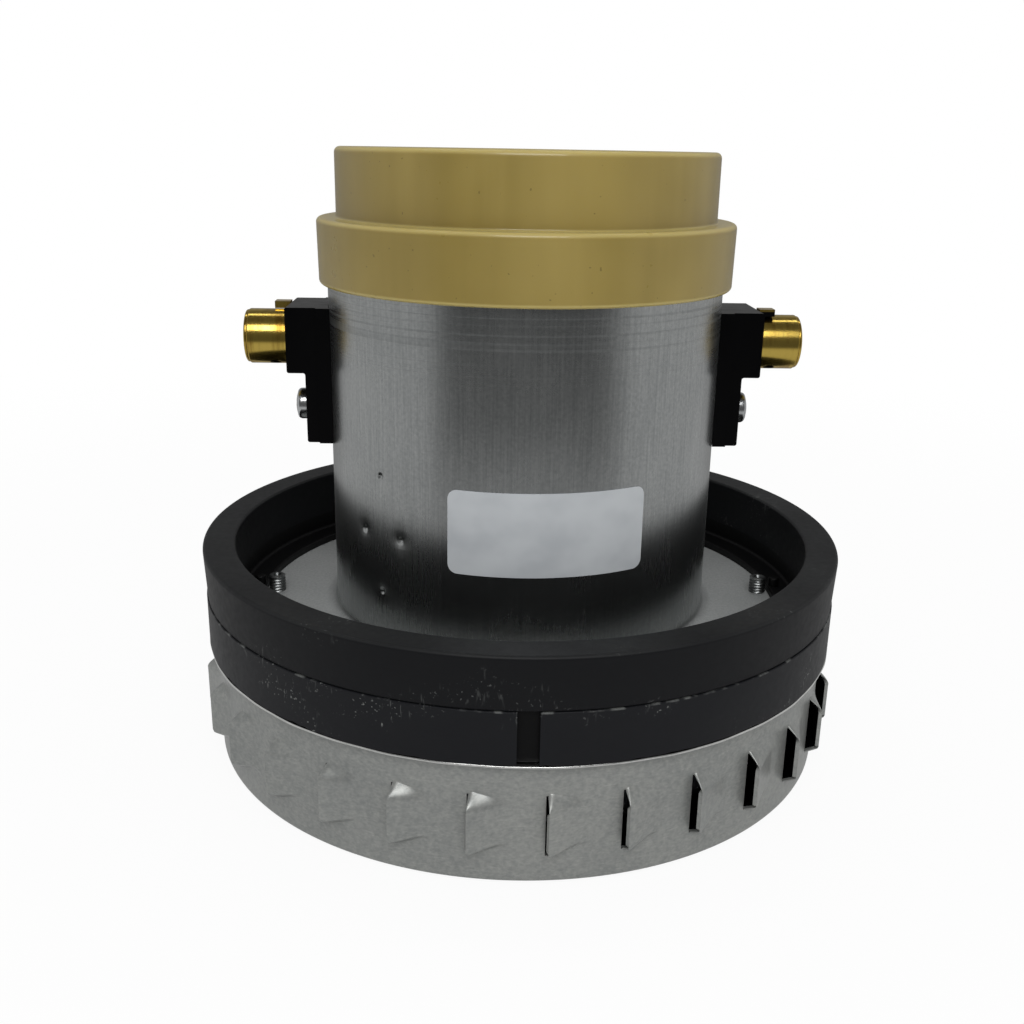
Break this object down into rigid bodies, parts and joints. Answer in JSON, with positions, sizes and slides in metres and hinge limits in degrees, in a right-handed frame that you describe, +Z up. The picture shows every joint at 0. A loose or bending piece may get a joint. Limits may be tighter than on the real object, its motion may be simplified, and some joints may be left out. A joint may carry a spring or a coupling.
{
  "type": "vacuum motor unit",
  "caption": "Brushed suction motor: drawn steel can on a louvred turbine housing, with an ochre fan cover, a rubber seal ring and a brass brush tube on each side.",
  "frame": {"origin": "centre of the turbine housing's foot, on the plane it stands on", "axes": "+Z up along the motor axis, X along the brush axis, -Y towards the front with the band's gap"},
  "size_m": [0.1478, 0.1482, 0.133],
  "materials": {
    "galvanised_steel": "galvanised, fine vertical drawing marks",
    "bracket_steel": "plated pressing",
    "black_rubber": "matte moulded rubber",
    "ochre_moulding": "semi-gloss moulded",
    "black_moulding": "semi-gloss moulded",
    "brass": "bright turned",
    "screw_steel": "zinc plated",
    "bearing_steel": "ground and polished",
    "spring_steel": "drawn wire",
    "shaft_steel": "ground",
    "lamination_steel": "stacked laminations",
    "copper_winding": "enamelled copper wire",
    "commutator_copper": "turned copper",
    "hub_moulding": "phenolic moulding",
    "carbon": "sintered carbon",
    "impeller_aluminium": "rolled sheet",
    "fan_moulding": "moulded"
  },
  "bodies": {
    "root": {"turbine_housing": "galvanised_steel", "motor_can": "galvanised_steel", "rubber_ring": "black_rubber", "rubber_band": "black_rubber", "lower_bracket": "bracket_steel", "upper_bracket": "bracket_steel", "wave_washer": "spring_steel", "fan_cover": "ochre_moulding", "stator_core": "lamination_steel", "field_coil_rear": "copper_winding", "field_coil_front": "copper_winding", "flange_screws": "screw_steel", "holder_screws": "screw_steel", "lower_bearing_outer": "bearing_steel", "upper_bearing_outer": "bearing_steel", "brush_holder_left": "black_moulding", "brush_holder_right": "black_moulding", "brush_tube_left": "brass", "brush_tube_right": "brass", "brush_cap_left": "brass", "brush_cap_right": "brass", "terminal_left": "brass", "terminal_right": "brass", "brush_spring_left": "spring_steel", "brush_spring_right": "spring_steel"},
    "rotor": {"shaft": "shaft_steel", "armature_core": "lamination_steel", "armature_winding": "copper_winding", "commutator_bars": "commutator_copper", "commutator_hub": "hub_moulding", "impeller_disc": "impeller_aluminium", "impeller_vanes": "impeller_aluminium", "impeller_shroud": "impeller_aluminium", "spacer_sleeve": "screw_steel", "lower_washer": "screw_steel", "lower_nut": "screw_steel", "cooling_fan": "fan_moulding", "upper_washer": "screw_steel", "upper_nut": "screw_steel", "lower_bearing_inner": "bearing_steel", "upper_bearing_inner": "bearing_steel"},
    "lower_ball_set": {"lower_bearing_balls": "bearing_steel"},
    "upper_ball_set": {"upper_bearing_balls": "bearing_steel"},
    "brush_left": {"carbon_brush_left": "carbon"},
    "brush_right": {"carbon_brush_right": "carbon"}
  },
  "joints": [
    {"name": "rotor_spin", "type": "hinge", "parent": "root", "child": "rotor", "pos_m": [0, 0, 0.06], "axis": [0, 0, -1], "continuous": true},
    {"name": "lower_ball_roll", "type": "hinge", "parent": "root", "child": "lower_ball_set", "pos_m": [0, 0, 0.0273], "axis": [0, 0, -1], "continuous": true},
    {"name": "upper_ball_roll", "type": "hinge", "parent": "root", "child": "upper_ball_set", "pos_m": [0, 0, 0.1075], "axis": [0, 0, -1], "continuous": true},
    {"name": "brush_left_slide", "type": "slide", "parent": "root", "child": "brush_left", "axis": [-1, 0, 0], "range_m": [0, 0.009], "stiffness_N_per_m": 180, "springref_m": -0.015, "deforming": ["brush_spring_left"]},
    {"name": "brush_right_slide", "type": "slide", "parent": "root", "child": "brush_right", "axis": [1, 0, 0], "range_m": [0, 0.009], "stiffness_N_per_m": 180, "springref_m": -0.015, "deforming": ["brush_spring_right"]}
  ],
  "couplings": [
    {"joint": "lower_ball_roll", "follows": "rotor_spin", "ratio": 0.37},
    {"joint": "upper_ball_roll", "follows": "rotor_spin", "ratio": 0.37}
  ]
}
